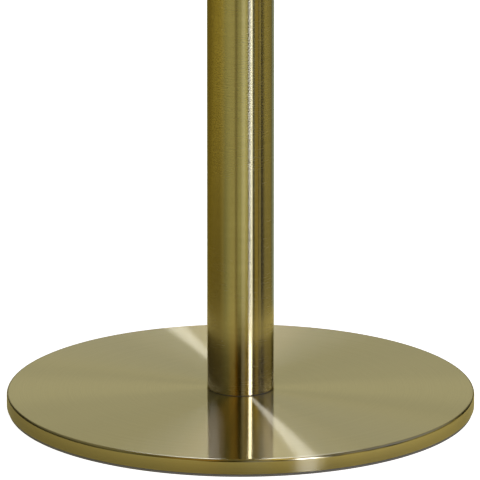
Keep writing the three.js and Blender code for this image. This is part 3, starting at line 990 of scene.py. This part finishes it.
class Room:
    """The room as the metal sees it: soft-edged panels of light, in a world with a plain white background."""

    def __init__(self):
        world = bpy.data.worlds.new("room")
        world.use_nodes = True
        bpy.context.scene.world = world
        self.tree = world.node_tree
        self.g = Graph(self.tree)
        x, y, z = self.g.split(self.g.node("TexCoord").outputs["Generated"])
        self.azimuth = self.g.math("ARCTAN2", x, self.g.math("MULTIPLY", y, -1.0))
        self.elevation = self.g.math("ARCSINE", z)
        self.total = None

    def edge(self, value, at, soft):
        """Rises from 0 to 1 across an edge soft degrees wide, or falls if soft is negative."""
        start, end = math.radians(at - soft / 2), math.radians(at + soft / 2)
        return self.g.remap(value, start, end, kind="SMOOTHSTEP")

    def panel(self, azimuth, softness, elevation, level, colour):
        """Light between two azimuths and two elevations, in degrees.

        Azimuth 0 is towards the camera, and + is to its right. softness is the width of the left edge,
        of the right edge, and of the edges above and below.
        """
        middle = sum(azimuth) / 2
        offset = self.g.math("SUBTRACT", self.azimuth, math.radians(middle))
        wrapped = self.g.node("Math", operation="WRAP")
        for socket, value in zip(wrapped.inputs, (offset, math.pi, -math.pi)):
            self.g.plug(socket, value)
        half = (azimuth[1] - azimuth[0]) / 2
        left, right, ends = softness
        share = self.g.math("MULTIPLY", self.edge(wrapped.outputs[0], -half, left),
                            self.edge(wrapped.outputs[0], half, -right))
        for at, soft in ((elevation[0], ends), (elevation[1], -ends)):
            if abs(at) < 90:
                share = self.g.math("MULTIPLY", share, self.edge(self.elevation, at, soft))
        light = self.g.mix(share, (0, 0, 0, 1), (*[level * c for c in colour], 1))
        self.total = light if self.total is None else self.g.mix(1.0, self.total, light, "ADD")

    def finish(self):
        """The panels light and are reflected. The camera itself sees white."""
        lit = self.tree.nodes["Background"]
        self.g.plug(lit.inputs["Color"], self.total)
        white = self.g.node("Background")
        white.inputs["Color"].default_value = (1, 1, 1, 1)
        chosen = self.g.node("MixShader")
        self.g.plug(chosen.inputs[0], self.g.node("LightPath").outputs["Is Camera Ray"])
        self.g.plug(chosen.inputs[1], lit.outputs[0])
        self.g.plug(chosen.inputs[2], white.outputs[0])
        self.g.plug(self.tree.nodes["World Output"].inputs[0], chosen.outputs[0])


# Colours of light, as shares of its green
EMBER = (2, 1, 0)
AMBER = (1.3, 1, 0.15)
GOLD = (1.15, 1, 0.25)
WARM = (1.15, 1, 0.35)
MILD = (1, 1, 0.5)
PALE = (1, 1, 0.75)
DAY = (0.85, 1, 0.9)
WHITE = (0.95, 1, 1.1)
COOL = (0.88, 1, 1.6)

PANELS = [
    # azimuth, softness (left, right, ends), elevation, level, colour
    ((35, 42), (3, 3, 10), (-16, 12), 2.5, WHITE),  # main light: its low end
    ((29, 39), (4, 2, 4), (11, 39), 8.5, COOL),  # main light: a tall strip to the right
    ((30, 37), (3, 3, 6), (42, 49), 0.6, COOL),  # main light: a small lamp over the strip
    ((21, 48), (10, 5, 15), (48, 80), 1.05, AMBER),  # main light: its glow above
    ((9, 55), (10, 10, 10), (-41, -26), 1.15, DAY),  # main light: its pool on the floor
    ((-13, 25), (20, 5, 10), (-41, -13), 0.72, MILD),  # floor towards the camera
    ((3, 16), (7, 6, 12), (-18, 45), 0.27, WHITE),  # narrow light beside the camera
    ((-56, -18), (45, 10, 15), (-18, 10), 0.64, MILD),  # left of the camera
    ((-42, -12), (15, 5, 20), (25, 65), 0.19, EMBER),  # above that
    ((-165, -60), (15, 15, 10), (-45, -5), 0.15, AMBER),  # far left, hardly lit
    ((-140, -60), (25, 25, 10), (25, 55), 0.16, PALE),  # left wall, above the horizon
    ((50, 64), (5, 5, 15), (-42, 24), 0.22, AMBER),  # right of the main light
    ((68, 73), (3, 3, 15), (-42, 10), 0.32, WARM),  # a narrow light beside that
    ((88, 134), (15, 12, 15), (-38, 30), 0.18, WARM),  # right side
    ((55, 140), (25, 25, 10), (25, 55), 0.28, COOL),  # right wall, above the horizon
    ((169, 191), (3, 3, 6), (40, 64), 3.8, COOL),  # window behind
    ((158, 202), (16, 16, 10), (8, 32), 0.55, PALE),  # backdrop
    ((140, 220), (25, 25, 15), (28, 52), 0.22, PALE),  # its dim upper part
    ((140, 200), (20, 20, 15), (-44, -8), 0.5, DAY),  # floor behind
    ((85, 305), (60, 60, 25), (-90, -32), 1.6, GOLD),  # floor round the foot, to the sides and behind
    ((-180, 180), (1, 1, 25), (50, 90), 0.14, WARM),  # ceiling
]


def light_room():
    room = Room()
    for azimuth, softness, elevation, level, colour in PANELS:
        room.panel(azimuth, softness, elevation, level, colour)
    room.finish()


make_camera()
make_floor()
make_sheet()
light_room()
bpy.context.scene.view_settings.view_transform = "Standard"
